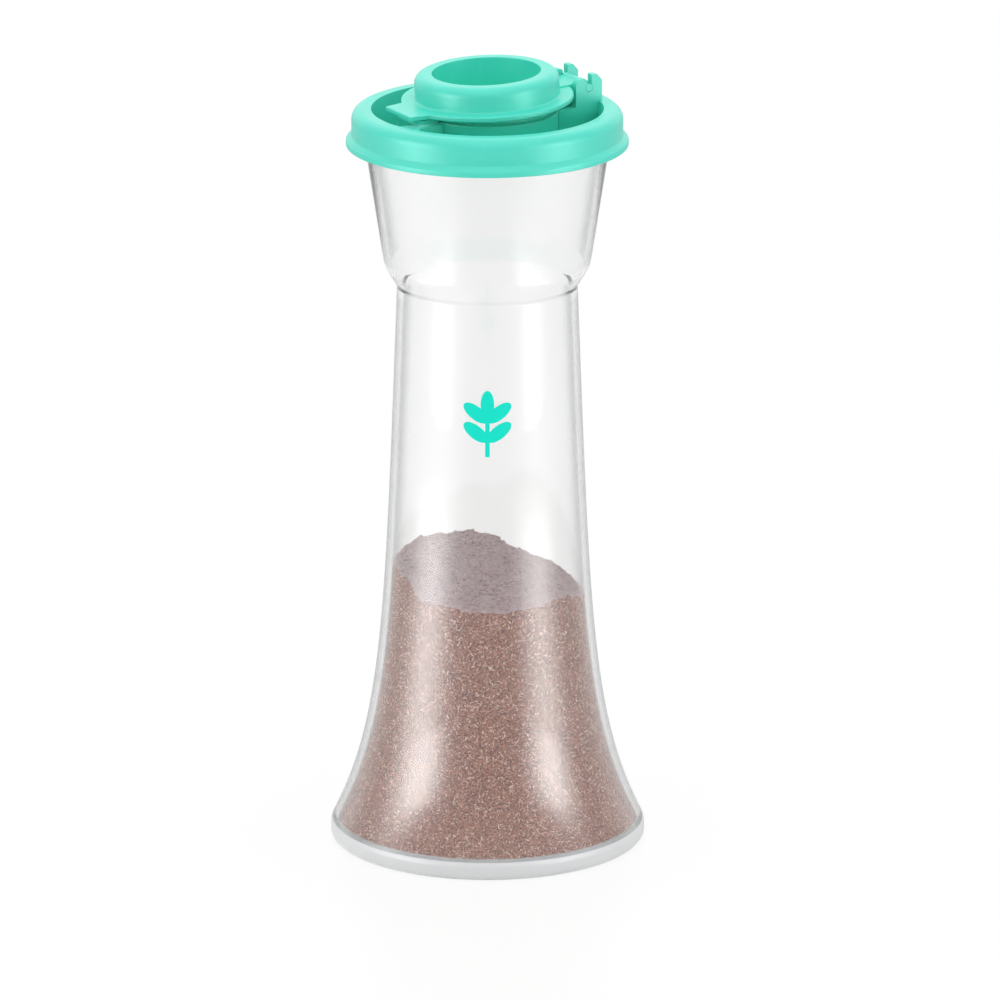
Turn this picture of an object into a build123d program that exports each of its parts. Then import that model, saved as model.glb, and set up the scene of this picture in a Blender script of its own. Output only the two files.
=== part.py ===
from build123d import *
from math import exp, radians, sin, sqrt, tan
import os

# Hourglass spice shaker: a clear bottle, a press-on cap and a flip lid.
# Millimetres. The origin is the middle of the foot, on the surface the shaker stands on.
# +Z runs up the bottle's axis and the printed front faces -Y.

# Bottle: a drafted waist that flares to the foot, and a cup above the neck.
foot_diameter = 63.0
foot_edge_height = 3.0
foot_edge_round = 1.5
foot_bottom_round = 1.5
flare_length = 18.9
flare_power = 1.06
waist_draft = 2.05
neck_radius = 17.88
neck_height = 114.2
neck_round = 0.8
knee_radius = 20.4
knee_rise = 4.2
knee_round = 5.0
mouth_radius = 25.05
bottle_height = 148.4
bottle_wall = 1.3
rim_bead = 0.3
rim_bead_height = 2.4
rim_round = 0.35

# Base disc: closes the foot from below and stands flush with it.
base_floor_height = 4.0
base_plate = 1.6
base_skirt = 1.6
base_step = 0.2
base_gap = 0.05
base_drip_round = 0.5

# Ground spice: a loose heap, higher at the back left.
heap_peak_height = 60.6
heap_offset_x = -5.0
heap_offset_y = 5.0
heap_radius = 40.0
spice_gap = 0.15

# Printed sprig on the front of the waist.
sprig_height = 90.6
sprig_stem_length = 13.4
sprig_stem_width = 0.9
sprig_leaf_length = 5.8
sprig_leaf_width = 2.7
sprig_leaf_lean = 52.0
sprig_leaf_pairs = 2
sprig_leaf_pitch = 3.9
sprig_first_leaf = 3.2
ink_thickness = 0.08

# Cap: an upside-down channel over the mouth, and a moat around the turret.
cap_turn = 29.0
cap_crown = 1.6
crown_round = 2.2
skirt_gap = 0.35
skirt_wall = 1.1
skirt_drop = 5.7
lip_height = 2.1
lip_out = 1.1
lip_round = 0.7
lip_flat = 1.05
plug_gap = 0.1
plug_wall = 1.0
moat_depth = 7.0
moat_floor = 1.2
moat_floor_round = 0.8
moat_edge_round = 0.12
turret_foot_round = 0.5
spout_foot_round = 0.4
turret_wall = 1.9
turret_step_gap = 1.2
spout_wall = 0.75
spout_top_gap = 1.0
sprinkle_plate = 1.2
sprinkle_gap = 0.35
sprinkle_hole = 2.0
sprinkle_pitch = 4.0
sprinkle_rings = 2
holes_per_ring = 6

# Flip lid: a stopper cup inside a collar, on a flange with a thumb tab.
well_radius = 10.75
well_wall = 0.9
well_depth = 6.85
well_floor = 1.1
well_floor_round = 0.8
well_edge_round = 0.15
stopper_round = 0.8
spout_gap = 0.45
collar_wall = 1.0
collar_rise = 5.45
collar_top = 1.0
shoulder_round = 1.9
collar_foot_round = 0.5
flange_radius = 17.0
flange_thickness = 1.0
tab_reach = 20.1
tab_tip_width = 10.2
tab_root_width = 11.6
tab_root_round = 1.2
tab_tip_round = 0.35
lid_droop = 2.6

# Hinge: trunnions on the lid's arm, snapped into two open clips of the cap.
hinge_reach = 19.9
hinge_rise = 2.9
pin_radius = 0.75
pin_gap = 0.08
clip_mouth = 1.1
clip_span = 11.2
clip_thickness = 1.6
clip_side_gap = 0.2
clip_inner_reach = 3.0
clip_outer_reach = 2.9
clip_bump_rise = 1.9
clip_horn_rise = 2.6
clip_horn_width = 1.2
clip_horn_drop = 1.3
clip_bump_round = 1.5
clip_mouth_round = 0.6
clip_horn_round = 0.3
clip_web_gap = 0.5
clip_web_round = 0.3
arm_thickness = 1.6
barrel_radius = 1.15

# Rest: a block in the moat under the tab, on a shelf that flares out to the moat's wall in front and
# slopes down behind. Its ramp starts that far in front of the tab's middle line.
rest_reach = 17.6
rest_width = 9.6
rest_gap = 0.3
rest_round = 0.4
shelf_drop = 0.6
shelf_width = 11.2
shelf_flare_start = 18.2
shelf_flare_end = 20.9
shelf_flare_width = 21.0
shelf_ramp_start = 3.0
shelf_ramp_drop = 4.0

# Edges that have no size of their own, the most of a wall that a round may take, and how far a
# cutter runs, in thicknesses of the plate it goes through.
edge_round = 0.25
round_share = 0.9
cutter_run = 4.0

# Derived places.
foot_radius = foot_diameter / 2
knee_height = neck_height + knee_rise
cup_slope = (mouth_radius - knee_radius) / (bottle_height - knee_height)
cap_rim_height = bottle_height + cap_crown
skirt_inner = mouth_radius + rim_bead + skirt_gap
skirt_outer = skirt_inner + skirt_wall
skirt_bottom = bottle_height - skirt_drop
moat_floor_height = cap_rim_height - moat_depth
floor_bottom = moat_floor_height - moat_floor
hinge_height = cap_rim_height + hinge_rise
flange_bottom = hinge_height - flange_thickness / 2
flange_top = hinge_height + flange_thickness / 2
lid_top = hinge_height + collar_rise
stopper_radius = well_radius + well_wall
stopper_bottom = lid_top - well_depth - well_floor
spout_inner = stopper_radius + spout_gap
spout_outer = spout_inner + spout_wall
collar_inner = spout_outer + spout_gap
collar_outer = collar_inner + collar_wall
turret_outer = spout_inner + turret_wall
arm_width = clip_span - 2 * clip_thickness - 2 * clip_side_gap
hinge_axis = Axis((hinge_reach, 0, hinge_height), (0, 1, 0))


def droop_at(reach):
    """How far the resting lid has sunk, on the tab's side, at a distance from the axis."""
    return (hinge_reach + reach) * sin(radians(lid_droop))


sprinkle_top = stopper_bottom - droop_at(stopper_radius) - sprinkle_gap
spout_top = lid_top - collar_top - droop_at(spout_outer) - spout_top_gap
turret_step = flange_bottom - droop_at(turret_outer) - turret_step_gap
rest_top = flange_bottom - droop_at(rest_reach) - rest_gap


def waist_radius(height):
    """Outside radius of the bottle between the foot's edge and the neck."""
    draft = tan(radians(waist_draft))
    cone = neck_radius + draft * (neck_height - height)
    flare = foot_radius - neck_radius - draft * (neck_height - foot_edge_height)
    return cone + flare * exp(-(((height - foot_edge_height) / flare_length) ** flare_power))


def cup_radius(height):
    """Outside radius of the cup's cone above the knee."""
    return knee_radius + cup_slope * (height - knee_height)


def waist_curve(start_height, inset):
    """Waist line from start_height to just below the neck, closer together near the foot."""
    stations = 14
    end_height = neck_height - 2 * neck_round
    span = end_height - start_height
    heights = [start_height + span * (i / stations) ** 2 for i in range(stations + 1)]
    return Spline([(waist_radius(height) - inset, height) for height in heights])


def turned(outline):
    """Solid of revolution of a closed half section drawn as radius and height."""
    return revolve(Plane.XZ * make_face(outline), Axis.Z)


def turned_ring(inner, outer, bottom, top):
    """Plain ring between two radii and two heights."""
    ring = [(inner, bottom), (outer, bottom), (outer, top), (inner, top)]
    return turned(Polyline(ring, close=True))


def bottle_shell():
    """Outside of the bottle as one filled solid."""
    low = min(foot_bottom_round, round_share * (foot_radius - foot_bore_radius()))
    foot = Line((0, 0), (foot_radius - low, 0))
    corner = RadiusArc((foot_radius - low, 0), (foot_radius, low), -low)
    edge = Line((foot_radius, low), (foot_radius, foot_edge_height))
    waist = waist_curve(foot_edge_height, 0)
    bead_bottom = bottle_height - rim_bead_height
    bead_radius = mouth_radius + rim_bead
    cup = FilletPolyline(
        [
            waist @ 1,
            (neck_radius, neck_height),
            (knee_radius, knee_height),
            (cup_radius(bead_bottom), bead_bottom),
            (bead_radius, bead_bottom + rim_bead),
            (bead_radius, bottle_height),
            (bead_radius - rim_bead - bottle_wall / 2, bottle_height),
        ],
        radius=[neck_round, knee_round, 0, rim_round, rim_round],
    )
    lid_line = Line(cup @ 1, (0, bottle_height))
    axis_line = Line((0, bottle_height), (0, 0))
    shell = turned(foot + corner + edge + waist + cup + lid_line + axis_line)
    foot_edge = shell.edges().filter_by_position(Axis.Z, foot_edge_height, foot_edge_height)
    return fillet(foot_edge, foot_edge_round)


def bottle_inside(inset, top):
    """Room inside the bottle above the base, kept inset from the outside skin."""
    start = Line((0, base_floor_height), (waist_radius(base_floor_height) - inset, base_floor_height))
    waist = waist_curve(base_floor_height, inset)
    cup = FilletPolyline(
        [
            waist @ 1,
            (neck_radius - inset, neck_height),
            (knee_radius - inset, knee_height),
            (cup_radius(top) - inset, top),
            (0, top),
        ],
        radius=[neck_round, knee_round, 0],
    )
    return turned(start + waist + cup + Line((0, top), (0, base_floor_height)))


def foot_bore_radius():
    """Bore of the foot that takes the base disc, a small step wider than the room above it."""
    return waist_radius(base_floor_height) - bottle_wall + base_step


def bottle_body():
    """Clear hourglass bottle, open at the mouth and at the foot."""
    bore = Pos(Z=base_floor_height / 2) * Cylinder(foot_bore_radius(), base_floor_height)
    shell = bottle_shell() - bore - bottle_inside(bottle_wall, bottle_height)
    inner_lip = shell.edges().filter_by(GeomType.CIRCLE).group_by(Axis.Z)[-1].sort_by(SortBy.RADIUS)[0]
    return fillet(inner_lip, min(rim_round, round_share * bottle_wall / 2))


def base_disc():
    """Disc pressed into the foot, with a skirt that stands flush with the bottle's edge."""
    radius = foot_bore_radius() - base_gap
    plate_bottom = base_floor_height - base_plate
    disc = Pos(Z=base_floor_height / 2) * Cylinder(radius, base_floor_height)
    hollow = Pos(Z=plate_bottom / 2) * Cylinder(radius - base_skirt, plate_bottom)
    disc -= hollow
    inner_corner = disc.edges().filter_by_position(Axis.Z, plate_bottom, plate_bottom)
    return fillet(inner_corner, base_drip_round)


def ground_spice():
    """Heap of ground spice: the bottle's room, cut off by a dome that leans to the back left."""
    room = bottle_inside(bottle_wall + spice_gap, bottle_height)
    dome = Pos(heap_offset_x, heap_offset_y, heap_peak_height - heap_radius) * Sphere(heap_radius)
    bed_height = heap_peak_height - heap_radius
    bed = Pos(Z=bed_height / 2) * Cylinder(foot_radius, bed_height)
    return room & (dome + bed)


def leaf(lean, height):
    """One oval leaf that grows from the stem at a height, leaning by an angle from upright."""
    blade = Pos(Y=sprig_leaf_length / 2) * Ellipse(sprig_leaf_width / 2, sprig_leaf_length / 2)
    return Pos(Y=height) * Rot(Z=lean) * blade


def printed_sprig():
    """Ink film in the shape of a leafy sprig, curved to the front of the waist."""
    bottom = -sprig_stem_length / 2
    sprig = Pos(Y=-sprig_leaf_length / 2) * Rectangle(sprig_stem_width, sprig_stem_length - sprig_leaf_length)
    for pair in range(sprig_leaf_pairs):
        height = bottom + sprig_first_leaf + pair * sprig_leaf_pitch
        sprig += leaf(sprig_leaf_lean, height) + leaf(-sprig_leaf_lean, height)
    sprig += leaf(0, sprig_stem_length / 2 - sprig_leaf_length)
    stamp = extrude(Plane.XZ * Pos(Y=sprig_height) * sprig, foot_radius)
    low = sprig_height - sprig_stem_length
    high = sprig_height + sprig_stem_length
    film = waist_curve(foot_edge_height, -ink_thickness)
    skin = waist_curve(foot_edge_height, 0)
    layer = turned(film + skin + Line(film @ 0, skin @ 0) + Line(film @ 1, skin @ 1))
    window = Pos(Y=-foot_radius / 2, Z=(low + high) / 2) * Box(foot_diameter, foot_radius, high - low)
    return stamp & (layer & window)


def plug_radius(height):
    """Outside radius of the plug wall, which follows the inside of the cup."""
    return cup_radius(height) - bottle_wall - plug_gap


def cap_channel():
    """Skirt, crown and plug wall that straddle the bottle's rim, with the moat's floor."""
    moat_top = plug_radius(cap_rim_height) - plug_wall
    moat_low = plug_radius(moat_floor_height) - plug_wall
    lip_radius = skirt_outer + lip_out
    section = FilletPolyline(
        [
            (spout_inner, floor_bottom),
            (plug_radius(floor_bottom), floor_bottom),
            (plug_radius(bottle_height), bottle_height),
            (skirt_inner, bottle_height),
            (skirt_inner, skirt_bottom),
            (lip_radius, skirt_bottom),
            (lip_radius, skirt_bottom + lip_flat),
            (skirt_outer, skirt_bottom + lip_height),
            (skirt_outer, cap_rim_height),
            (moat_top, cap_rim_height),
            (moat_low, moat_floor_height),
            (spout_inner, moat_floor_height),
        ],
        radius=[
            edge_round,
            0,
            0,
            edge_round,
            edge_round,
            lip_round,
            edge_round,
            crown_round,
            moat_edge_round,
            moat_floor_round,
        ],
    )
    return turned(section + Line(section @ 1, section @ 0))


def turret():
    """Turret with the sprinkle plate and the spout ring around it."""
    plate_bottom = sprinkle_top - sprinkle_plate
    section = FilletPolyline(
        [
            (spout_inner, floor_bottom),
            (turret_outer, floor_bottom),
            (turret_outer, turret_step),
            (spout_outer, turret_step),
            (spout_outer, spout_top),
            (spout_inner, spout_top),
            (spout_inner, sprinkle_top),
            (0, sprinkle_top),
            (0, plate_bottom),
            (spout_inner, plate_bottom),
        ],
        radius=[0, edge_round, turret_foot_round, edge_round, edge_round, spout_foot_round, 0, 0],
    )
    body = turned(section + Line(section @ 1, section @ 0))
    return body - sprinkle_holes()


def sprinkle_holes():
    """Drills for the sprinkle holes: one in the middle and rings around it."""
    drill = Pos(Z=sprinkle_top) * Cylinder(sprinkle_hole / 2, cutter_run * sprinkle_plate)
    drills = Part() + drill
    for ring in range(1, sprinkle_rings + 1):
        drills += PolarLocations(ring * sprinkle_pitch, ring * holes_per_ring) * drill
    return drills


def clip_post():
    """One open clip: a plate with a round seat and a mouth for the pin, on a web from the turret."""
    seat_radius = pin_radius + pin_gap
    mouth = clip_mouth / 2
    bump_top = hinge_height + clip_bump_rise
    horn_top = hinge_height + clip_horn_rise
    inner = hinge_reach - clip_inner_reach
    outer = hinge_reach + clip_outer_reach
    horn_start = hinge_reach + mouth
    root = turret_outer - turret_wall / 2
    root_height = floor_bottom + moat_floor / 2
    web_top = turret_step - clip_web_gap
    plate = FilletPolyline(
        [
            (root, root_height),
            (outer, root_height),
            (outer, horn_top - clip_horn_drop),
            (horn_start + clip_horn_width, horn_top),
            (horn_start, horn_top),
            (horn_start, hinge_height),
            (hinge_reach - mouth, hinge_height),
            (hinge_reach - mouth, bump_top),
            (inner, bump_top),
            (inner, web_top),
            (root, web_top),
        ],
        radius=[
            0,
            0,
            clip_horn_round,
            clip_horn_round,
            clip_horn_round,
            0,
            0,
            clip_mouth_round,
            clip_bump_round,
            clip_web_round,
            0,
        ],
        close=True,
    )
    profile = make_face(plate) - Pos(hinge_reach, hinge_height) * Circle(seat_radius)
    return extrude(Plane.XZ * profile, clip_thickness)


def clip_posts():
    """Both clips, one at each end of the hinge pin, trimmed to stay inside the plug wall."""
    front = Pos(Y=-clip_span / 2 + clip_thickness) * clip_post()
    return (front + mirror(front, Plane.XZ)) & cap_room()


def cap_room():
    """Room inside the middle of the plug wall, open to the top: whatever stands in the moat keeps to it."""
    low = plug_radius(floor_bottom) - plug_wall / 2
    high = plug_radius(bottle_height) - plug_wall / 2
    outline = Polyline(
        [
            (0, floor_bottom),
            (low, floor_bottom),
            (high, bottle_height),
            (skirt_inner, bottle_height),
            (skirt_inner, lid_top),
            (0, lid_top),
        ],
        close=True,
    )
    return turned(outline)


def rest_block():
    """Block in the moat that the resting tab lies on."""
    bottom = floor_bottom + moat_floor / 2
    length = rest_reach - spout_outer
    middle = Pos(-(rest_reach + spout_outer) / 2, 0, (rest_top + bottom) / 2)
    block = Box(length, rest_width, rest_top - bottom)
    outer_edges = block.edges().filter_by(Axis.Z).group_by(Axis.X)[0]
    return (middle * fillet(outer_edges, rest_round)) - spout_room()


def rest_shelf():
    """Shelf just below the rim, from the turret's wall out under the tab to the moat's wall."""
    bottom = floor_bottom + moat_floor / 2
    top = cap_rim_height - shelf_drop
    root = turret_outer - turret_wall / 2
    plan = Polyline(
        [
            (-root, -shelf_width / 2),
            (-shelf_flare_start, -shelf_width / 2),
            (-shelf_flare_end, -shelf_flare_width / 2),
            (-skirt_inner, -shelf_flare_width / 2),
            (-skirt_inner, shelf_width / 2),
            (-root, shelf_width / 2),
        ],
        close=True,
    )
    ramp = Polyline(
        [
            (-shelf_flare_width / 2, bottom),
            (-shelf_flare_width / 2, top),
            (-shelf_ramp_start, top),
            (shelf_width / 2, top - shelf_ramp_drop),
            (shelf_width / 2, bottom),
        ],
        close=True,
    )
    column = extrude(Pos(Z=bottom) * make_face(plan), top - bottom)
    sloped = extrude(Pos(X=-skirt_inner) * (Plane.YZ * make_face(ramp)), skirt_inner - root)
    return column & sloped & cap_room()


def spout_room():
    """Room that the turret's own wall and the spout take from the rest block."""
    turret_part = turned_ring(0, turret_outer, 0, turret_step)
    return turret_part + turned_ring(0, collar_outer + rest_gap, turret_step, lid_top)


def seal_cap():
    """Press-on cap in one moulding, turned so that its hinge stands at the back right."""
    cap = cap_channel() + turret() + clip_posts() + rest_shelf() + rest_block()
    return Rot(Z=cap_turn) * cap


def lid_cup():
    """Stopper cup and collar as one upside-down channel, with the root of the flange."""
    flange_root = collar_outer + 2 * collar_foot_round
    section = FilletPolyline(
        [
            (0, stopper_bottom),
            (stopper_radius, stopper_bottom),
            (stopper_radius, lid_top - collar_top),
            (collar_inner, lid_top - collar_top),
            (collar_inner, flange_bottom),
            (flange_root, flange_bottom),
            (flange_root, flange_top),
            (collar_outer, flange_top),
            (collar_outer, lid_top),
            (well_radius, lid_top),
            (well_radius, lid_top - well_depth),
            (0, lid_top - well_depth),
        ],
        radius=[
            stopper_round,
            edge_round,
            edge_round,
            edge_round,
            0,
            0,
            collar_foot_round,
            shoulder_round,
            well_edge_round,
            well_floor_round,
        ],
    )
    return turned(section + Line(section @ 1, section @ 0))


def lid_flange():
    """Flange plate with the thumb tab, which leaves it opposite the hinge."""
    root = sqrt(flange_radius**2 - (tab_root_width / 2) ** 2)
    tongue = Polyline(
        [
            (0, -tab_root_width / 2),
            (-root, -tab_root_width / 2),
            (-tab_reach, -tab_tip_width / 2),
            (-tab_reach, tab_tip_width / 2),
            (-root, tab_root_width / 2),
            (0, tab_root_width / 2),
        ],
        close=True,
    )
    plan = make_face(tongue) + Circle(flange_radius)
    tips = plan.vertices().group_by(Axis.X)[0]
    plan = fillet(tips, tab_tip_round)
    roots = plan.vertices().filter_by_position(Axis.X, -root - tab_tip_round, -root + tab_tip_round)
    plan = fillet(roots, tab_root_round)
    plate = extrude(plan, flange_thickness)
    plate = fillet(plate.faces().filter_by(Axis.Z).edges(), edge_round)
    bore = Cylinder(collar_outer + collar_foot_round, cutter_run * flange_thickness)
    return Pos(Z=flange_bottom) * (plate - bore)


def lid_arm():
    """Hinge arm between the clips, with its barrel and the two trunnions."""
    inner = (collar_inner + collar_outer) / 2
    arm = Box(hinge_reach - inner, arm_width, arm_thickness)
    arm = Pos((hinge_reach + inner) / 2, 0, hinge_height) * arm
    barrel = Pos(hinge_reach, 0, hinge_height) * Rot(X=90) * Cylinder(barrel_radius, arm_width)
    pin = Pos(hinge_reach, 0, hinge_height) * Rot(X=90) * Cylinder(pin_radius, clip_span)
    return arm + barrel + pin


def flip_lid():
    """Flip lid in one moulding, resting with its tab side low."""
    lid = lid_cup() + lid_flange() + lid_arm()
    return Rot(Z=cap_turn) * lid.rotate(hinge_axis, -lid_droop)


parts = {
    "bottle_body": bottle_body,
    "base_disc": base_disc,
    "ground_spice": ground_spice,
    "printed_sprig": printed_sprig,
    "seal_cap": seal_cap,
    "flip_lid": flip_lid,
}

os.makedirs("parts", exist_ok=True)
for name, make in parts.items():
    export_step(make(), f"parts/{name}.step")
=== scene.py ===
from math import atan2, cos, exp, pi, radians, sin, sqrt, tan
from random import Random

import bpy
from mathutils import Matrix, Vector, noise


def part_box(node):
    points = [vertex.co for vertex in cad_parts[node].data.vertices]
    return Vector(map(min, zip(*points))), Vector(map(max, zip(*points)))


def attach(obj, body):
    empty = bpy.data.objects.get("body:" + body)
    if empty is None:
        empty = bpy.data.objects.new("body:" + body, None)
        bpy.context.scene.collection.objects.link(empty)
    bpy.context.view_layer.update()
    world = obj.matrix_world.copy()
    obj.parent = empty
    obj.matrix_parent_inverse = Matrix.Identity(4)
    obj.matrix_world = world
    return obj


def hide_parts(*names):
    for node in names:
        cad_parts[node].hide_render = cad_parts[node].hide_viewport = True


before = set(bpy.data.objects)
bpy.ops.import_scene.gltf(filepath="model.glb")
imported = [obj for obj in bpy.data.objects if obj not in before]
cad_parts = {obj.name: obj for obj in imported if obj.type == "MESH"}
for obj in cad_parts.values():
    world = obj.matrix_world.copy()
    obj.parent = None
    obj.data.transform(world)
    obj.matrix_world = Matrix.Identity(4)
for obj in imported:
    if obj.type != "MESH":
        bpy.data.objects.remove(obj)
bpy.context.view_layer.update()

# Hourglass spice shaker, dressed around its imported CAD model.
# Metres. The origin is the middle of the foot, +Z runs up the bottle and the printed front faces -Y.

MM = 0.001

# Bottle: the foot, the waist that flares to it, the neck, and the cup above.
BOTTLE_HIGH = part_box("bottle_body")[1]
FOOT_RADIUS = BOTTLE_HIGH.x
BOTTLE_HEIGHT = BOTTLE_HIGH.z
FOOT_EDGE_HEIGHT = 3.0 * MM
FOOT_ROUND = 1.5 * MM
FOOT_SOLE_ROUND = FOOT_ROUND * 0.9
WAIST_START = FOOT_EDGE_HEIGHT + 0.7 * MM
FLARE_LENGTH = 18.9 * MM
FLARE_POWER = 1.06
WAIST_DRAFT = tan(radians(2.05))
NECK_RADIUS = 17.88 * MM
NECK_HEIGHT = 114.2 * MM
NECK_ROUND = 0.8 * MM
KNEE_RADIUS = 20.4 * MM
KNEE_HEIGHT = 118.4 * MM
KNEE_ROUND = 5.0 * MM
MOUTH_RADIUS = 25.05 * MM
WALL = 1.3 * MM
RIM_BEAD = 0.3 * MM
RIM_BEAD_HEIGHT = 2.4 * MM
RIM_ROUND = 0.35 * MM

# How finely the bottle is drawn: points up the waist, closer together low down, and turns around it.
WAIST_STATIONS = 90
WAIST_CROWDING = 1.6
ROUNDING_STEPS = 7
BOTTLE_TURNS = 250
MERGE_DISTANCE = 0.002 * MM
SMOOTH_ANGLE = radians(32)

# Base disc's bore in the foot.
FLOOR_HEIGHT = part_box("base_disc")[1].z
BORE_STEP = 0.2 * MM

# Material slots of the bottle, and where the frosted foot and the clear shoulder end; the shoulder's painted
# edge shade is lighter.
OUTSIDE, INSIDE, FOOT, SHOULDER = range(4)
FROST_TOP = FLOOR_HEIGHT - 0.2 * MM
SHOULDER_MARGIN = 1.5 * MM

# Cap: its crown, the painted shade that deepens down the moat, and the painted light on the shelf under the
# thumb tab.
CROWN_HEIGHT = BOTTLE_HEIGHT + 1.6 * MM
MOAT_SHADE = (CROWN_HEIGHT - 3.5 * MM, CROWN_HEIGHT - 1.0 * MM)
SHELF_LIGHT_FADE_BELOW = (CROWN_HEIGHT - 1.0 * MM, CROWN_HEIGHT - 0.7 * MM)
SHELF_LIGHT_FADE_ABOVE = (CROWN_HEIGHT - 0.5 * MM, CROWN_HEIGHT - 0.3 * MM)
SHELF_LIGHT_FADE_ASIDE = (-14.0 * MM, -9.0 * MM)
SHADE_REACH = 9 * MM

# Ground spice: where its surface meets the wall, as azimuth in degrees and height in millimetres.
SPICE_GAP = 0.2 * MM
SPICE_CONTACT = [
    (-180, 57.6), (-163, 58.0), (-146, 56.6), (-131, 53.2), (-90, 51.7), (-45, 53.0),
    (0, 50.6), (45, 51.8), (90, 55.4), (145, 57.2),
]
SPICE_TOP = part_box("ground_spice")[1].z
SPICE_MIDDLE = 55.6 * MM
SPICE_EDGE_POWER = 2.2
SPICE_TURNS = 270
SPICE_RINGS = 90
SPICE_BANDS = 120
SAME_HEIGHT = 0.001 * MM

# Lumps of the spice: crumbs, clumps of crumbs, and dents along the wall.
CRUMB_SIZE = 0.8 * MM
CRUMB_RELIEF = 0.24 * MM
CLUMP_SIZE = 3.0 * MM
CLUMP_RELIEF = 0.5 * MM
WALL_RELIEF = 0.14 * MM
RELIEF_ROUGHNESS = 0.8
RELIEF_STEP = 2.2
RELIEF_LAYERS = 3

# Mounds on the spice in millimetres: middle x and y, radius of the flat top, radius of the foot, rise.
MOUNDS = [(-7.0, 6.5, 10.6, 15.2, 2.9), (-1.2, 9.0, 2.6, 7.5, 3.7), (7.5, 7.5, 4.5, 11.5, 1.2)]
MOUND_MARGIN = 0.16

# Crumbs that lie loose on the spice: how near the wall they come, how flat and how chipped they are.
CRUMB_COUNT = 2400
CRUMB_RADIUS = 0.3 * MM
CRUMB_LARGEST = 1.6
CRUMB_SHRINK = 0.5
CRUMB_SPREAD = 0.96
CRUMB_FLATNESS = 0.8
CRUMB_CHIP = 0.35

# Husk fibres among the spice: a bent sliver, the share of them along the wall, and how they lie.
FIBRE_COUNT = 7200
FIBRE_LENGTH = 0.86 * MM
FIBRE_RADIUS = 0.078 * MM
FIBRE_BEND = 0.30
FIBRE_FLATNESS = 0.6
FIBRE_TIP = 0.02
FIBRE_SIZES = (0.55, 1.25)
FIBRE_WALL_SHARE = 0.88
FIBRE_SINK = 0.02 * MM
FIBRE_SPREAD = 0.98
FIBRE_SETTLING = 1.15
FIBRE_TILT = 0.2

# Share of painted haze and shade, a pale mauve-grey, over the spice's free surface and its loose crumbs.
TOP_HAZE_SHARE = 0.66

# How far the strokes of the spice's pattern are bent.
WARP = 0.7 * MM

# Camera: its focal length is given in widths of the frame.
CAMERA_PLACE = Vector((0.0, -1.793, 0.590))
CAMERA_AIM = Vector((0.0025, 0.0, 0.0696))
CAMERA_FOCAL = 9.37
SENSOR = 36.0
NEAREST, FARTHEST = 0.05, 40.0

# Floor: it runs out to white between two distances, and mirrored rays find it a little darker. What
# they find changes with how far a level unit direction points back.
FLOOR_SIZE = 14.0
FLOOR_DROP = 0.05 * MM
FLOOR_WHITENING = (0.06, 0.30)
FLOOR_WHITE_SHARE = 0.82
FLOOR_MIRRORED_CHANGE = (-0.35, 0.6)
FLOOR_MIRRORED_IN_FRONT = 0.6
FLOOR_MIRRORED_BEHIND = 0.7

# Soft cards beside the shaker: turn from the front in degrees, lean, distance, width, bottom, top, strength.
CARDS = {
    "low_card_left": (-65.0, 0.3, 0.135, 0.22, 0.0, 0.056, 6.0),
    "low_card_right": (57.0, -0.25, 0.135, 0.20, 0.0, 0.056, 5.3),
    "middle_card_left": (-56.0, 0.0, 0.30, 0.34, 0.03, 0.10, 3.2),
    "middle_card_right": (56.0, 0.0, 0.30, 0.32, 0.03, 0.10, 3.2),
    "high_card_left": (-58.0, 0.0, 0.12, 0.13, 0.12, 0.20, 5.6),
    "high_card_right": (58.0, 0.0, 0.12, 0.13, 0.12, 0.20, 5.6),
}
CARD_FADE = 0.020

# Wide faint glows that mirrored rays find around the cards: turn from the front, half width, strength.
GLOWS = [(-62, 50, 0.7), (60, 46, 0.35)]
GLOW_CORE = 0.25
GLOW_FALL = (0.15, 0.5)

# Surroundings: the light all round, from overhead, from two upright strips (turn from the front, half
# width), and what only mirrored rays find: a veil, and a backdrop behind. A rise or a fall runs between
# two heights of a unit direction, and the backdrop's between two depths of it.
ALL_ROUND_LIGHT = 0.46
OVERHEAD_LIGHT = 0.92
OVERHEAD_RISE = (0.2, 0.95)
STRIP_LIGHT = 1.2
STRIP_RISE = (-0.1, 0.15)
STRIP_FALL = (0.12, 0.37)
STRIPS = [(-58, 30), (55, 28)]
VEIL_LIGHT = 0.2
BACKDROP_LIGHT = 0.6
BACKDROP_RISE = (0.2, 0.9)

# Brightness that rays through the clear bottle find in front. Behind, they find plain white.
SEEN_THROUGH_IN_FRONT = 0.64
SEEN_THROUGH_RISE = (0.0, 0.4)


def deselect():
    """Leave nothing selected, so that the next operator acts on its own piece alone."""
    if bpy.context.object and bpy.context.object.mode != "OBJECT":
        bpy.ops.object.mode_set(mode="OBJECT")
    bpy.ops.object.select_all(action="DESELECT")


def waist_radius(height):
    """Outside radius of the bottle between the foot's edge and the neck."""
    rise = max(height - FOOT_EDGE_HEIGHT, 0.0)
    cone = NECK_RADIUS + WAIST_DRAFT * (NECK_HEIGHT - height)
    flare = FOOT_RADIUS - NECK_RADIUS - WAIST_DRAFT * (NECK_HEIGHT - FOOT_EDGE_HEIGHT)
    return cone + flare * exp(-((rise / FLARE_LENGTH) ** FLARE_POWER))


def cup_radius(height):
    """Outside radius of the cup's cone above the knee."""
    slope = (MOUTH_RADIUS - KNEE_RADIUS) / (BOTTLE_HEIGHT - KNEE_HEIGHT)
    return KNEE_RADIUS + slope * (height - KNEE_HEIGHT)


def waist_line(low, high, inset):
    """Points up the waist, closer together near the foot."""
    shares = [(i / WAIST_STATIONS) ** WAIST_CROWDING for i in range(WAIST_STATIONS + 1)]
    heights = [low + (high - low) * share for share in shares]
    return [(waist_radius(height) - inset, height, 0.0) for height in heights]


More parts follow.
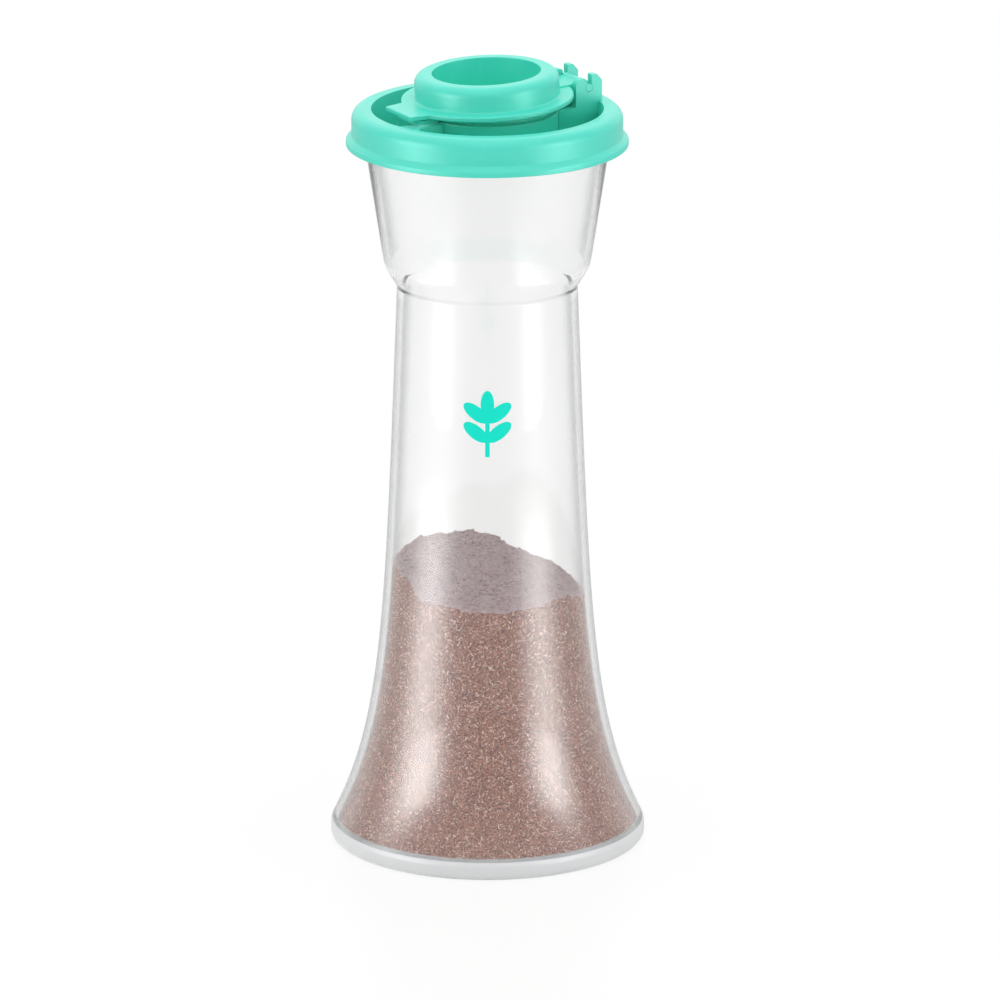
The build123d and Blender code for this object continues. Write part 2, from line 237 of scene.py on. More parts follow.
def rounded(corners):
    """Closed outline through corners of (radius, height, rounding), with each rounding as an arc."""
    outline = []
    count = len(corners)
    for i, (x, z, rounding) in enumerate(corners):
        corner = Vector((x, z))
        if rounding == 0.0:
            outline.append(corner)
            continue
        back = (Vector(corners[i - 1][:2]) - corner).normalized()
        ahead = (Vector(corners[(i + 1) % count][:2]) - corner).normalized()
        half = back.angle(ahead) / 2
        reach = rounding / tan(half)
        centre = corner + (back + ahead).normalized() * rounding / sin(half)
        start = corner + back * reach - centre
        end = corner + ahead * reach - centre
        sweep = start.angle(end)
        for step in range(ROUNDING_STEPS + 1):
            share = step / ROUNDING_STEPS
            blend = start * sin((1 - share) * sweep) + end * sin(share * sweep)
            outline.append(centre + blend / sin(sweep))
    return outline


def turned(name, outline, turns):
    """Piece of revolution: a half section drawn point to point, then spun about the upright axis."""
    deselect()
    bpy.ops.mesh.primitive_plane_add(size=MM, location=(0, 0, 0))
    piece = bpy.context.object
    piece.name = piece.data.name = name
    bpy.ops.object.mode_set(mode="EDIT")
    bpy.ops.mesh.select_all(action="SELECT")
    bpy.ops.mesh.merge(type="CENTER")
    here = outline[0]
    bpy.ops.transform.translate(value=(here.x, 0, here.y))
    for point in outline[1:]:
        step = point - here
        bpy.ops.mesh.extrude_region_move(TRANSFORM_OT_translate={"value": (step.x, 0, step.y)})
        here = point
    bpy.ops.mesh.select_all(action="SELECT")
    bpy.ops.mesh.spin(steps=turns, angle=2 * pi, center=(0, 0, 0), axis=(0, 0, 1))
    bpy.ops.mesh.select_all(action="SELECT")
    bpy.ops.mesh.remove_doubles(threshold=MERGE_DISTANCE)
    bpy.ops.mesh.normals_make_consistent(inside=False)
    bpy.ops.object.mode_set(mode="OBJECT")
    bpy.ops.object.shade_smooth_by_angle(angle=SMOOTH_ANGLE)
    return piece


def bottle_outline():
    """Section of the bottle's wall, up the outside and down the inside."""
    bore = waist_radius(FLOOR_HEIGHT) - WALL + BORE_STEP
    waist_end = NECK_HEIGHT - 2 * NECK_ROUND
    bead_foot = BOTTLE_HEIGHT - RIM_BEAD_HEIGHT
    bead_radius = MOUTH_RADIUS + RIM_BEAD
    outside = [
        (bore, 0.0, 0.0),
        (FOOT_RADIUS, 0.0, FOOT_SOLE_ROUND),
        (FOOT_RADIUS, FOOT_EDGE_HEIGHT, FOOT_ROUND),
    ]
    outside += waist_line(WAIST_START, waist_end, 0.0)
    outside += [
        (NECK_RADIUS, NECK_HEIGHT, NECK_ROUND),
        (KNEE_RADIUS, KNEE_HEIGHT, KNEE_ROUND),
        (cup_radius(bead_foot), bead_foot, 0.0),
        (bead_radius, bead_foot + RIM_BEAD, RIM_ROUND / 2),
        (bead_radius, BOTTLE_HEIGHT, RIM_ROUND),
    ]
    inside = [
        (MOUTH_RADIUS - WALL, BOTTLE_HEIGHT, RIM_ROUND),
        (KNEE_RADIUS - WALL, KNEE_HEIGHT, KNEE_ROUND),
        (NECK_RADIUS - WALL, NECK_HEIGHT, NECK_ROUND + WALL),
    ]
    inside += reversed(waist_line(FLOOR_HEIGHT, waist_end, WALL))
    inside += [(bore, FLOOR_HEIGHT, 0.0)]
    return rounded(outside + inside)


def bottle_shell():
    """Clear hourglass bottle with its wall, open at the mouth and at the foot."""
    outline = bottle_outline()
    shell = turned("bottle_shell", outline + [outline[0]], BOTTLE_TURNS)
    for face in shell.data.polygons:
        face.material_index = bottle_zone(face.center)
    return shell


def bottle_zone(place):
    """Material slot for a place on the bottle."""
    if place.z < FROST_TOP:
        return FOOT
    if NECK_HEIGHT - SHOULDER_MARGIN < place.z < KNEE_HEIGHT + SHOULDER_MARGIN:
        return SHOULDER
    if place.z < NECK_HEIGHT:
        middle = waist_radius(place.z) - WALL / 2
    else:
        middle = max(NECK_RADIUS, cup_radius(place.z)) - WALL / 2
    return OUTSIDE if sqrt(place.x ** 2 + place.y ** 2) > middle else INSIDE


def contact_height(azimuth):
    """Height at which the spice meets the wall, eased between the stated azimuths."""
    degrees = azimuth * 180 / pi
    stops = SPICE_CONTACT + [(SPICE_CONTACT[0][0] + 360, SPICE_CONTACT[0][1])]
    for (start, low), (end, high) in zip(stops, stops[1:]):
        if start <= degrees <= end:
            share = (degrees - start) / (end - start)
            return (low + (high - low) * share * share * (3 - 2 * share)) * MM
    return stops[-1][1] * MM


def spice_wall_radius(height):
    """Radius of the spice where it lies against the bottle."""
    return waist_radius(height) - WALL - SPICE_GAP


def mound_rise(x, y):
    """Rise of the highest mound over a point: flat on top, with a straight slope down to its foot."""
    rises = []
    for middle_x, middle_y, flat, foot, rise in MOUNDS:
        away = sqrt((x / MM - middle_x) ** 2 + (y / MM - middle_y) ** 2)
        rises.append(rise * MM * min(max((foot - away) / (foot - flat), 0.0), 1.0))
    return max(rises)


def spice_surface(x, y, edge_radius):
    """Height of the spice's free surface above a point of the floor, without its lumps."""
    reach = min(sqrt(x * x + y * y) / edge_radius, 1.0)
    edge = contact_height(atan2(y, x))
    middle = SPICE_MIDDLE + (edge - SPICE_MIDDLE) * reach ** SPICE_EDGE_POWER
    return middle + mound_rise(x, y) * min((1 - reach) / MOUND_MARGIN, 1.0)


def relief(place, size, depth):
    """Seeded lumpiness of the spice at a place: how far it stands out or lies back."""
    return noise.fractal(place / size, RELIEF_ROUGHNESS, RELIEF_STEP, RELIEF_LAYERS) * depth


def free_place(x, y, edge_radius):
    """Point of the spice's free surface, with its lumps."""
    place = Vector((x, y, spice_surface(x, y, edge_radius)))
    lumps = relief(place, CLUMP_SIZE, CLUMP_RELIEF) + relief(place, CRUMB_SIZE, CRUMB_RELIEF)
    place.z = min(place.z + lumps, SPICE_TOP - CRUMB_RADIUS)
    return place


def wall_place(azimuth, share):
    """Point of the spice along the bottle's wall, a share of the way up, with its dents."""
    height = FLOOR_HEIGHT + share * (contact_height(azimuth) - FLOOR_HEIGHT)
    radius = spice_wall_radius(height)
    place = Vector((cos(azimuth) * radius, sin(azimuth) * radius, height))
    radius -= abs(relief(place, CRUMB_SIZE, WALL_RELIEF))
    return Vector((cos(azimuth) * radius, sin(azimuth) * radius, height))


def spice_heap():
    """Ground spice: a body that fills the waist, with a crumbly mound on top."""
    top = max(height for _, height in SPICE_CONTACT) * MM
    wall = [FLOOR_HEIGHT + (top - FLOOR_HEIGHT) * i / SPICE_BANDS for i in range(SPICE_BANDS + 1)]
    rim = spice_wall_radius(top)
    outline = [Vector((0.0, FLOOR_HEIGHT))]
    outline += [Vector((spice_wall_radius(height), height)) for height in wall]
    outline += [Vector((rim * (1 - i / SPICE_RINGS), top)) for i in range(1, SPICE_RINGS + 1)]
    heap = turned("spice_heap", outline, SPICE_TURNS)
    for face in heap.data.polygons:
        face.material_index = 1 if face.center.z > top - SAME_HEIGHT else 0
    for vertex in heap.data.vertices:
        x, y, z = vertex.co
        azimuth = atan2(y, x)
        if z > top - SAME_HEIGHT:
            edge = spice_wall_radius(contact_height(azimuth))
            stretch = edge / rim
            vertex.co = free_place(x * stretch, y * stretch, edge)
        elif z > FLOOR_HEIGHT + SAME_HEIGHT:
            vertex.co = wall_place(azimuth, (z - FLOOR_HEIGHT) / (top - FLOOR_HEIGHT))
    heap.data.update()
    return heap


def taken(form):
    """Corners and faces of a small form, which is then deleted."""
    corners = [vertex.co.copy() for vertex in form.data.vertices]
    faces = [tuple(face.vertices) for face in form.data.polygons]
    bpy.data.objects.remove(form)
    return corners, faces


def joined(name, points, sides):
    """One piece from points and faces gathered for many small shapes."""
    mesh = bpy.data.meshes.new(name)
    mesh.from_pydata(points, [], sides)
    mesh.update()
    piece = bpy.data.objects.new(name, mesh)
    bpy.context.scene.collection.objects.link(piece)
    return piece


def spice_crumbs():
    """Loose crumbs on the spice's free surface: angular grains, joined in one piece."""
    dice = Random(11)
    deselect()
    bpy.ops.mesh.primitive_ico_sphere_add(subdivisions=1, radius=CRUMB_RADIUS)
    corners, faces = taken(bpy.context.object)
    points, sides = [], []
    for _ in range(CRUMB_COUNT):
        azimuth = dice.uniform(-pi, pi)
        edge = spice_wall_radius(contact_height(azimuth))
        reach = edge * CRUMB_SPREAD * sqrt(dice.random())
        place = free_place(reach * cos(azimuth), reach * sin(azimuth), edge)
        size = dice.uniform(CRUMB_SHRINK, 1.0) ** 2 * CRUMB_LARGEST
        first = len(points)
        for corner in corners:
            chip = 1 + CRUMB_CHIP * dice.uniform(-1, 1)
            points.append(place + Vector((corner.x, corner.y, corner.z * CRUMB_FLATNESS)) * size * chip)
        sides += [tuple(first + i for i in face) for face in faces]
    return joined("spice_crumbs", points, sides)


def fibre_form():
    """One husk fibre, modelled once: a bent sliver along X with pointed ends."""
    deselect()
    bpy.ops.mesh.primitive_cylinder_add(
        vertices=4, radius=FIBRE_RADIUS, depth=FIBRE_LENGTH, end_fill_type="NOTHING")
    form = bpy.context.object
    bpy.ops.object.mode_set(mode="EDIT")
    bpy.ops.mesh.select_mode(type="EDGE")
    bpy.ops.mesh.select_all(action="DESELECT")
    bpy.ops.object.mode_set(mode="OBJECT")
    for edge in form.data.edges:
        low, high = (form.data.vertices[i].co.z for i in edge.vertices)
        edge.select = abs(high - low) > FIBRE_RADIUS
    bpy.ops.object.mode_set(mode="EDIT")
    bpy.ops.mesh.subdivide(number_cuts=2)
    bpy.ops.mesh.select_mode(type="VERT")
    bpy.ops.object.mode_set(mode="OBJECT")
    half = FIBRE_LENGTH / 2
    for vertex in form.data.vertices:
        along = vertex.co.z / half
        slim = sqrt(max(1 + FIBRE_TIP - along * along, FIBRE_TIP))
        across = vertex.co.x * slim
        thick = vertex.co.y * slim * FIBRE_FLATNESS
        vertex.co = Vector((vertex.co.z, across + FIBRE_BEND * half * along * along, thick))
    return taken(form)


def fibre_places(dice):
    """Seeded places for the fibres: most against the wall, the rest on the free surface."""
    for _ in range(FIBRE_COUNT):
        azimuth = dice.uniform(-pi, pi)
        top = contact_height(azimuth)
        if dice.random() < FIBRE_WALL_SHARE:
            height = FLOOR_HEIGHT + (top - FLOOR_HEIGHT) * dice.random() ** FIBRE_SETTLING
            radius = spice_wall_radius(height) - FIBRE_SINK
            out = Vector((cos(azimuth), sin(azimuth), 0.0))
            yield out * radius + Vector((0, 0, height)), out
        else:
            edge = spice_wall_radius(top)
            radius = edge * sqrt(dice.random()) * FIBRE_SPREAD
            yield free_place(radius * cos(azimuth), radius * sin(azimuth), edge), Vector((0, 0, 1))


def spice_fibres():
    """Pale husk fibres scattered over the spice, joined in one piece."""
    dice = Random(7)
    corners, faces = fibre_form()
    points, sides = [], []
    for place, out in fibre_places(dice):
        first = len(points)
        lean = out.to_track_quat("Z", "Y").to_matrix().to_4x4()
        turn = Matrix.Rotation(dice.uniform(-pi, pi), 4, "Z")
        turn = turn @ Matrix.Rotation(dice.gauss(0, FIBRE_TILT), 4, "Y")
        size = Matrix.Scale(dice.uniform(*FIBRE_SIZES), 4)
        stand = Matrix.Translation(place) @ lean @ turn @ size
        points += [stand @ corner for corner in corners]
        sides += [tuple(first + i for i in face) for face in faces]
    return joined("spice_fibres", points, sides)


class Wire:
    """A shader socket that can be used in a sum: each operator adds its Math node."""

    def __init__(self, look, socket):
        self.look, self.socket = look, socket

    def maths(self, operation, *others):
        values = dict(enumerate((self,) + others))
        return self.look.node("ShaderNodeMath", {"operation": operation}, values)["Value"]

    def flipped(self, operation, other):
        return self.look.node("ShaderNodeMath", {"operation": operation}, {0: other, 1: self})["Value"]

    def __add__(self, other):
        return self.maths("ADD", other)

    def __sub__(self, other):
        return self.maths("SUBTRACT", other)

    def __rsub__(self, other):
        return self.flipped("SUBTRACT", other)

    def __mul__(self, other):
        return self.maths("MULTIPLY", other)

    def __truediv__(self, other):
        return self.maths("DIVIDE", other)

    def __rtruediv__(self, other):
        return self.flipped("DIVIDE", other)

    def __pow__(self, other):
        return self.maths("POWER", other)

    __radd__ = __add__
    __rmul__ = __mul__


class Look:
    """A material, or the world, while its nodes are put together."""

    def __init__(self, owner):
        owner.use_nodes = True
        self.owner = owner
        self.tree = owner.node_tree
        self.tree.nodes.clear()

    def node(self, kind, settings=None, sockets=None):
        """Add a node: its settings first, then its sockets' values or wires. Returns its outputs by name."""
        made = self.tree.nodes.new(kind)
        for name, value in (settings or {}).items():
            setattr(made, name, value)
        inputs = {socket.name: socket for socket in reversed(made.inputs) if socket.enabled}
        for name, value in (sockets or {}).items():
            socket = made.inputs[name] if isinstance(name, int) else inputs[name]
            if isinstance(value, Wire):
                self.tree.links.new(value.socket, socket)
            else:
                socket.default_value = value
        return {socket.name: Wire(self, socket) for socket in made.outputs if socket.enabled}

    def mix(self, share, first, second):
        """Colour between first and second."""
        sockets = {"Factor": share, "A": first, "B": second}
        return self.node("ShaderNodeMix", {"data_type": "RGBA"}, sockets)["Result"]

    def blend(self, share, first, second):
        """Shader between first and second."""
        return self.node("ShaderNodeMixShader", None, {0: share, 1: first, 2: second})["Shader"]

    def spread(self, value, low, high, to_low=0.0, to_high=1.0):
        """Value eased from one range to another."""
        sockets = {"Value": value, "From Min": low, "From Max": high, "To Min": to_low, "To Max": to_high}
        return self.node("ShaderNodeMapRange", {"interpolation_type": "SMOOTHSTEP"}, sockets)["Result"]

    def fall(self, value, low, high):
        """1 up to low, eased to 0 at high."""
        return self.spread(value, low, high, 1.0, 0.0)

    def place(self):
        """The point on the piece, in its own metres."""
        return self.node("ShaderNodeTexCoord")["Object"]

    def parts(self, vector):
        """A vector's three numbers."""
        made = self.node("ShaderNodeSeparateXYZ", None, {"Vector": vector})
        return made["X"], made["Y"], made["Z"]

    def vector(self, operation, *values):
        """A Vector Math node's outputs."""
        return self.node("ShaderNodeVectorMath", {"operation": operation}, dict(enumerate(values)))

    def grain(self, place, size, detail=3.0, roughness=0.55):
        """Soft noise of a given size in metres, about 0 to 1."""
        sockets = {"Vector": place, "Scale": 1 / size, "Detail": detail, "Roughness": roughness}
        return self.node("ShaderNodeTexNoise", None, sockets)["Fac"]

    def bump(self, height, depth, strength=1.0):
        """A normal from a height between 0 and 1 and its depth in metres."""
        sockets = {"Height": height, "Distance": depth, "Strength": strength}
        return self.node("ShaderNodeBump", None, sockets)["Normal"]

    def finish(self, shader):
        """Send a shader to the output."""
        kind = "World" if isinstance(self.owner, bpy.types.World) else "Material"
        self.node("ShaderNodeOutput" + kind, None, {"Surface": shader})
        return self.owner


def colour(red, green, blue):
    """Scene colour of a swatch given as display values from 0 to 255."""
    def linear(value):
        share = value / 255
        return share / 12.92 if share <= 0.04045 else ((share + 0.055) / 1.055) ** 2.4
    return (linear(red), linear(green), linear(blue), 1.0)


def clear_plastic(name, painted_edge_shade, edge_start, edge_end, coat):
    """Clear moulded plastic with a faint milkiness, and painted shade: a grey tint where the wall is seen
    edge on.
    """
    look = Look(bpy.data.materials.new(name))
    place = look.place()
    edge = look.node("ShaderNodeLayerWeight", None, {"Blend": 0.5})["Facing"]
    haze = look.grain(place, 9 * MM, 2.0)
    clear = look.mix(haze, (0.948, 0.952, 0.952, 1), (0.96, 0.96, 0.955, 1))
    plastic = look.node("ShaderNodeBsdfPrincipled", None, {
        # Painted shade: the tint greys where the wall is seen edge on, standing in for darker surroundings
        # seen through it.
        "Base Color": look.mix(look.spread(edge, edge_start, edge_end), clear, painted_edge_shade),
        "Roughness": look.spread(look.grain(place, 4 * MM), 0.35, 0.65, 0.01, 0.03),
        "IOR": 1.49,
        "Transmission Weight": 0.985,
        "Coat Weight": look.spread(edge, 0.45, 0.85, coat, 0.0),
        "Coat Roughness": 0.26,
    })["BSDF"]
    passing = look.node("ShaderNodeBsdfTransparent", None, {"Color": (0.93, 0.935, 0.94, 1)})["BSDF"]
    path = look.node("ShaderNodeLightPath")
    seen = look.blend(path["Is Diffuse Ray"], plastic, passing)
    return look.finish(look.blend(path["Is Shadow Ray"], seen, passing))


def frosted_plastic(name):
    """Milky moulded plastic of the base disc and of the foot around it."""
    look = Look(bpy.data.materials.new(name))
    place = look.place()
    cloud = look.grain(place, 6 * MM)
    plastic = look.node("ShaderNodeBsdfPrincipled", None, {
        "Base Color": look.mix(cloud, colour(234, 236, 237), colour(242, 243, 244)),
        "Roughness": look.spread(cloud, 0.3, 0.7, 0.35, 0.5),
        "Normal": look.bump(look.grain(place, 0.5 * MM), 0.01 * MM, 0.4),
        "Transmission Weight": 0.25,
    })["BSDF"]
    return look.finish(plastic)


def cap_colour_with_painted_light(look, place, cloud):
    """Turquoise with painted shade deepening down the moat, a painted glow in tight corners and painted light
    on the shelf.
    """
    open_sky = look.node("ShaderNodeAmbientOcclusion", {"samples": 8}, {"Distance": SHADE_REACH})["AO"]
    across, _, height = look.parts(place)
    # Painted shade: a darker turquoise down in the moat, where ambient occlusion finds little open sky.
    moat = look.fall(height, *MOAT_SHADE) * look.fall(open_sky, 0.1, 0.62)
    # Painted light: a pale turquoise on the shelf just under the crown, where the thumb tab shades it.
    shelf = look.spread(height, *SHELF_LIGHT_FADE_BELOW) * look.fall(height, *SHELF_LIGHT_FADE_ABOVE)
    shelf = shelf * look.fall(across, *SHELF_LIGHT_FADE_ASIDE) * look.fall(open_sky, 0.3, 0.8)
    body = look.mix(cloud, colour(72, 220, 198), colour(84, 228, 208))
    body = look.mix(moat, body, colour(44, 186, 162))
    # Painted glow: the tightest, most occluded corners are made lighter, as if light came through the
    # plastic.
    body = look.mix(look.spread(open_sky, 0.0, 0.14), colour(140, 252, 236), body)
    return look.mix(shelf, body, colour(160, 255, 246))


def cap_plastic(name):
    """Satin turquoise moulding: faint flow clouds, a fine moulded grain and softly rubbed places."""
    look = Look(bpy.data.materials.new(name))
    place = look.place()
    cloud = look.grain(place, 12 * MM, 2.0)
    rub = look.spread(look.grain(place, 2.5 * MM, 4.0), 0.52, 0.75)
    plastic = look.node("ShaderNodeBsdfPrincipled", None, {
        "Base Color": look.mix(rub * 0.1, cap_colour_with_painted_light(look, place, cloud), colour(130, 240, 220)),
        "Roughness": look.spread(cloud + rub * 0.4, 0.3, 1.0, 0.33, 0.42),
        "Normal": look.bump(look.grain(place, 0.22 * MM, 2.0), 0.006 * MM, 0.5),
        "IOR": 1.5,
    })["BSDF"]
    return look.finish(plastic)


def printed_ink():
    """Flat printing ink with tiny pinholes of uneven cover."""
    look = Look(bpy.data.materials.new("printed_ink"))
    place = look.place()
    cover = look.spread(look.grain(place, 0.35 * MM, 4.0), 0.6, 0.8)
    ink = look.node("ShaderNodeBsdfPrincipled", None, {
        "Base Color": look.mix(cover * 0.3, colour(0, 236, 212), colour(40, 240, 220)),
        "Roughness": look.spread(cover, 0.0, 1.0, 0.45, 0.6),
        "Specular IOR Level": 0.2,
        "Normal": look.bump(look.grain(place, 0.3 * MM), 0.01 * MM, 0.4),
    })["BSDF"]
    return look.finish(ink)


def flecks(look, place, size, length, width):
    """Mask of short strokes: one through each cell of a scatter, each with its own direction."""
    cells = look.node("ShaderNodeTexVoronoi", None, {"Vector": place, "Scale": 1 / size, "Randomness": 0.95})
    away = look.vector("SUBTRACT", place, cells["Position"])["Vector"]
    middle = look.vector("SUBTRACT", cells["Color"], (0.5, 0.5, 0.5))["Vector"]
    along = look.vector("NORMALIZE", middle)["Vector"]
    run = look.vector("DOT_PRODUCT", away, along)["Value"]
    reach = look.vector("LENGTH", away)["Value"]
    aside = (reach * reach - run * run).maths("MAXIMUM", 0.0) ** 0.5
    slim = look.fall(aside, width * 0.5, width)
    short = look.fall(run.maths("ABSOLUTE"), length * 0.4, length * 0.55)
    return slim * short


def ground_spice(name, painted_haze):
    """Coarse ground dried spice: brown grains, dark specks and pale husk flecks, under a share of pale
    mauve-grey painted haze and shade.
    """
    look = Look(bpy.data.materials.new(name))
    place = look.place()
    lump = look.grain(place, 2.6 * MM, 3.0)
    fine = look.grain(place, 0.28 * MM, 3.0, 0.7)
    grain = look.node("ShaderNodeTexVoronoi", None, {"Vector": place, "Scale": 1 / (0.34 * MM)})
    waves = {"Vector": place, "Scale": 1 / (0.9 * MM), "Detail": 0.0}
    warp = look.node("ShaderNodeTexNoise", None, waves)["Color"]
    curled = look.vector("MULTIPLY_ADD", warp, (WARP, WARP, WARP), place)["Vector"]
    long = flecks(look, curled, 1.0 * MM, 0.95 * MM, 0.15 * MM)
    short = flecks(look, curled, 0.62 * MM, 0.6 * MM, 0.10 * MM)
    pale = long.maths("MAXIMUM", short)
    tone = look.mix(look.spread(lump, 0.3, 0.7), colour(156, 96, 78), colour(182, 119, 98))
    tone = look.mix(look.spread(fine, 0.35, 0.7) * 0.5, tone, colour(199, 145, 124))
    tone = look.mix(look.spread(grain["Distance"], 0.4, 0.7) * 0.7, tone, colour(72, 36, 28))
    tone = look.mix(pale * 0.85, tone, colour(244, 216, 200))
    # Painted haze and shade: a pale mauve-grey over the brown, for the top seen hazy and shaded through the
    # plastic.
    tone = look.mix(painted_haze, tone, colour(192, 173, 180))
    height = fine * 0.5 + pale * 0.5 - grain["Distance"] * 0.6
    spice = look.node("ShaderNodeBsdfPrincipled", None, {
        "Base Color": tone,
        "Roughness": 0.92 - pale * 0.3,
        "Normal": look.bump(height, 0.12 * MM, 0.8),
    })["BSDF"]
    return look.finish(spice)


def husk_fibre():
    """Pale dry husk, from straw to tan."""
    look = Look(bpy.data.materials.new("husk_fibre"))
    place = look.place()
    kind = look.grain(place, 1.1 * MM, 2.0)
    husk = look.node("ShaderNodeBsdfPrincipled", None, {
        "Base Color": look.mix(look.spread(kind, 0.35, 0.65), colour(240, 218, 204), colour(182, 138, 120)),
        "Roughness": look.spread(kind, 0.3, 0.7, 0.6, 0.8),
        "Normal": look.bump(look.grain(place, 0.08 * MM), 0.01 * MM, 0.6),
    })["BSDF"]
    return look.finish(husk)


def near(look, x, y, turn, width):
    """How near a level unit direction is to a turn from the front: 1 close to it, 0 past the half width."""
    azimuth = radians(turn - 90)
    toward = x * cos(azimuth) + y * sin(azimuth)
    return look.spread(toward, cos(radians(width)), cos(radians(width * GLOW_CORE)))


def glows(look, x, y):
    """The wide glows together, for a level unit direction."""
    return sum(near(look, x, y, turn, width) * strength for turn, width, strength in GLOWS)


def floor_paint():
    """Pale paint that runs out to plain white; mirrored rays find it slightly darker, with the glows."""
    look = Look(bpy.data.materials.new("studio_floor"))
    place = look.place()
    away = look.vector("LENGTH", place)["Value"]
    x, y, _ = look.parts(place)
    reach = away.maths("MAXIMUM", MM)
    level_x, level_y = x / reach, y / reach
    path = look.node("ShaderNodeLightPath")
    seen = path["Is Camera Ray"].maths("MAXIMUM", path["Is Transmission Ray"])
    reflected = path["Is Glossy Ray"] * (1.0 - path["Is Transmission Ray"])
    shades = (FLOOR_MIRRORED_IN_FRONT, FLOOR_MIRRORED_BEHIND)
    mirrored = look.spread(level_y, *FLOOR_MIRRORED_CHANGE, *shades) + glows(look, level_x, level_y)
    white_share = look.spread(away, *FLOOR_WHITENING, FLOOR_WHITE_SHARE, 1.0) * seen
    matt = look.node("ShaderNodeBsdfPrincipled", None, {
        "Base Color": look.mix(look.grain(place, 30 * MM), colour(247, 247, 246), colour(250, 250, 249)),
        "Roughness": look.spread(look.grain(place, 20 * MM), 0.0, 1.0, 0.3, 0.4),
    })["BSDF"]
    strength = 1.0 - reflected * (1.0 - mirrored)
    white = look.node("ShaderNodeEmission", None, {"Color": (1, 1, 1, 1), "Strength": strength})["Emission"]
    return look.finish(look.blend(white_share.maths("MAXIMUM", reflected), matt, white))


def studio_floor():
    """Pale floor under the shaker, which keeps a soft shadow."""
    deselect()
    bpy.ops.mesh.primitive_grid_add(
        x_subdivisions=8, y_subdivisions=8, size=FLOOR_SIZE, location=(0, 0, -FLOOR_DROP))
    floor = bpy.context.object
    floor.name = "studio_floor"
    floor.data.materials.append(floor_paint())


def card_light(name, side, lean, width, low, high, glow):
    """Light of a card that fades towards its edges and lets everything else pass."""
    look = Look(bpy.data.materials.new(name))
    place = look.place()
    _, _, up = look.parts(place)
    across = look.vector("DOT_PRODUCT", place, side)["Value"] - (up - low) * lean
    soft = look.fall(across.maths("ABSOLUTE"), 0.0, width / 2) ** 2
    fade = look.fall(up, high - CARD_FADE, high) * look.spread(up, low - CARD_FADE, low + CARD_FADE / 2)
    white = look.mix(soft * fade, (0, 0, 0, 1), (1, 1, 1, 1))
    light = look.node("ShaderNodeEmission", None, {"Color": white, "Strength": glow})["Emission"]
    clear = look.node("ShaderNodeBsdfTransparent")["BSDF"]
    return look.finish(look.node("ShaderNodeAddShader", None, {0: light, 1: clear})["Shader"])


def soft_card(name, turn, lean, distance, width, low, high, glow):
    """Soft card beside the shaker that only its glossy surfaces show, leaning aside as it rises."""
    out = Vector((cos(radians(turn - 90)), sin(radians(turn - 90)), 0))
    side = Vector((-out.y, out.x, 0))
    deselect()
    bpy.ops.mesh.primitive_grid_add(x_subdivisions=4, y_subdivisions=4, size=1.0, location=(0, 0, 0))
    card = bpy.context.object
    card.name = card.data.name = name
    for vertex in card.data.vertices:
        rise = low + (high - low) * (vertex.co.y + 0.5)
        aside = vertex.co.x * width + lean * (rise - low)
        vertex.co = out * distance + side * aside + Vector((0, 0, rise))
    card.data.materials.append(card_light(name, side, lean, width, low, high, glow))
    card.visible_camera = card.visible_diffuse = card.visible_transmission = card.visible_shadow = False


def studio_light():
    """White surroundings with a soft overhead and two soft upright strips in front."""
    look = Look(bpy.data.worlds.new("studio_light"))
    bpy.context.scene.world = look.owner
    x, y, z = look.parts(look.node("ShaderNodeTexCoord")["Generated"])
    level = (x * x + y * y).maths("MAXIMUM", 0.0001) ** 0.5
    level_x, level_y = x / level, y / level
    path = look.node("ShaderNodeLightPath")
    through = path["Is Transmission Ray"]
    reflected = path["Is Glossy Ray"] * (1.0 - through)
    overhead = look.spread(z, *OVERHEAD_RISE)
    strips = sum(near(look, level_x, level_y, turn, width) for turn, width in STRIPS)
    strips = strips * look.spread(z, *STRIP_RISE) * look.fall(z, *STRIP_FALL)
    veil = glows(look, level_x, level_y) * look.fall(z, *GLOW_FALL) + VEIL_LIGHT
    mirrored = (veil + look.spread(y, *BACKDROP_RISE) * BACKDROP_LIGHT) * reflected
    lit = ALL_ROUND_LIGHT + overhead * OVERHEAD_LIGHT + strips * STRIP_LIGHT + mirrored
    seen_through = look.spread(y, *SEEN_THROUGH_RISE, SEEN_THROUGH_IN_FRONT, 1.0)
    around = lit + through * (seen_through - lit)
    white = look.node("ShaderNodeBackground", None, {"Color": (1, 1, 1, 1), "Strength": 1.0})["Background"]
    light = look.node("ShaderNodeBackground", None, {"Color": (1, 1, 1, 1), "Strength": around})["Background"]
    look.finish(look.blend(path["Is Camera Ray"], light, white))


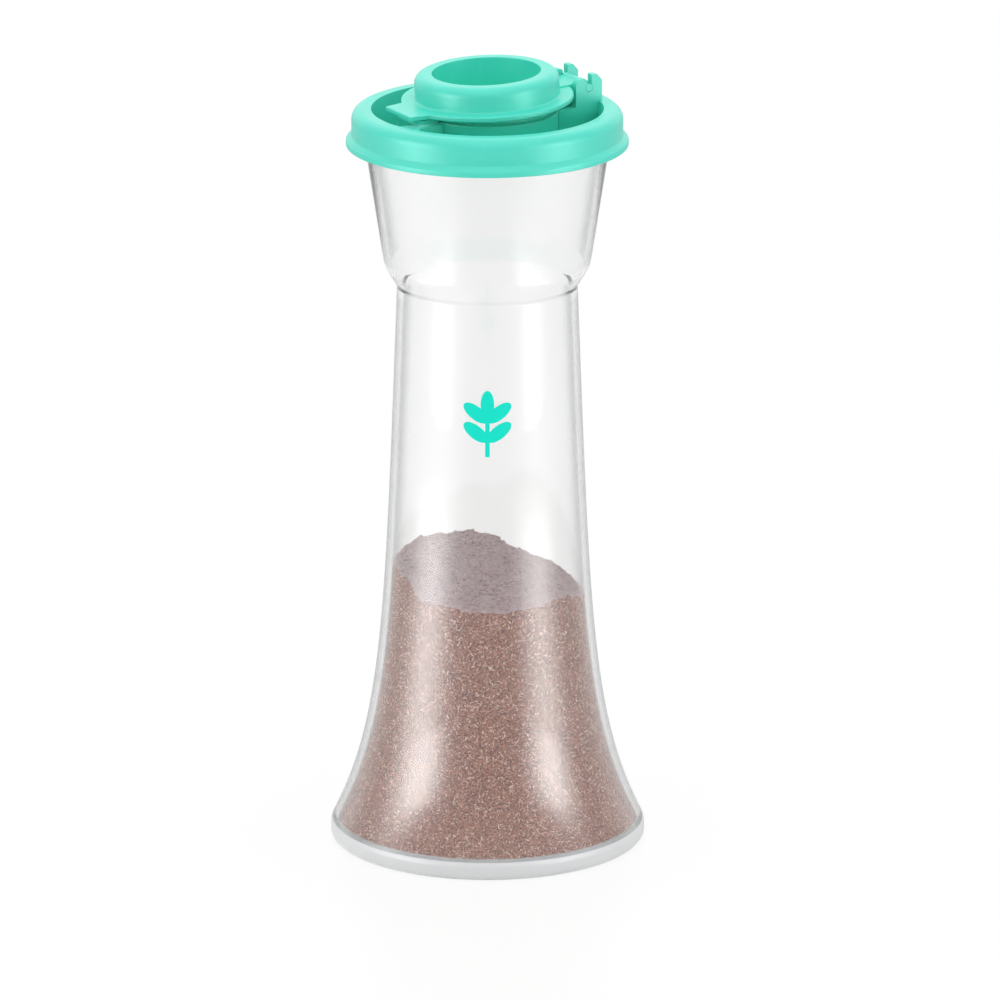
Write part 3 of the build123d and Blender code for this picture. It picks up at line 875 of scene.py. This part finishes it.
def studio_camera():
    """Camera in front of and above the shaker, with a long lens."""
    data = bpy.data.cameras.new("studio_camera")
    data.sensor_width = SENSOR
    data.lens = SENSOR * CAMERA_FOCAL
    data.clip_start, data.clip_end = NEAREST, FARTHEST
    camera = bpy.data.objects.new("studio_camera", data)
    camera.location = CAMERA_PLACE
    camera.rotation_euler = (CAMERA_AIM - CAMERA_PLACE).to_track_quat("-Z", "Y").to_euler()
    bpy.context.scene.collection.objects.link(camera)
    bpy.context.scene.camera = camera


def dress(piece, materials, body=None, stands_for=()):
    """Give a piece its materials and its body, and hide the CAD parts it stands for."""
    zones = [face.material_index for face in piece.data.polygons]
    piece.data.materials.clear()
    for material in materials:
        piece.data.materials.append(material)
    for face, zone in zip(piece.data.polygons, zones):
        face.material_index = zone
    if body:
        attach(piece, body)
    if stands_for:
        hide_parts(*stands_for)


studio_camera()
studio_light()
studio_floor()
for card_name, measures in CARDS.items():
    soft_card(card_name, *measures)

# The clear plastic's edge greys are painted shade: darkest on the inside, lightest on the shoulder.
bottle_looks = [
    clear_plastic("clear_plastic_outside", (0.5, 0.51, 0.53, 1), 0.52, 0.9, 0.6),
    clear_plastic("clear_plastic_inside", (0.34, 0.35, 0.37, 1), 0.5, 0.8, 0.0),
    frosted_plastic("frosted_foot"),
    clear_plastic("clear_plastic_shoulder", (0.93, 0.935, 0.94, 1), 0.6, 1.0, 0.2),
]
dress(bottle_shell(), bottle_looks, "bottle", ("bottle_body",))
# The spice's free surface and the crumbs take the painted haze and shade.
heap_looks = [ground_spice("ground_spice", 0.0), ground_spice("spice_top_painted_haze", TOP_HAZE_SHARE)]
dress(spice_heap(), heap_looks, "bottle", ("ground_spice",))
dress(spice_crumbs(), [ground_spice("spice_crumbs", TOP_HAZE_SHARE)], "bottle")
dress(spice_fibres(), [husk_fibre()], "bottle")
dress(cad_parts["base_disc"], [frosted_plastic("frosted_disc")])
dress(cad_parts["printed_sprig"], [printed_ink()])
dress(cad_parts["seal_cap"], [cap_plastic("cap_turquoise")])
dress(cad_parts["flip_lid"], [cap_plastic("lid_turquoise")])

bpy.context.scene.view_settings.view_transform = "Standard"
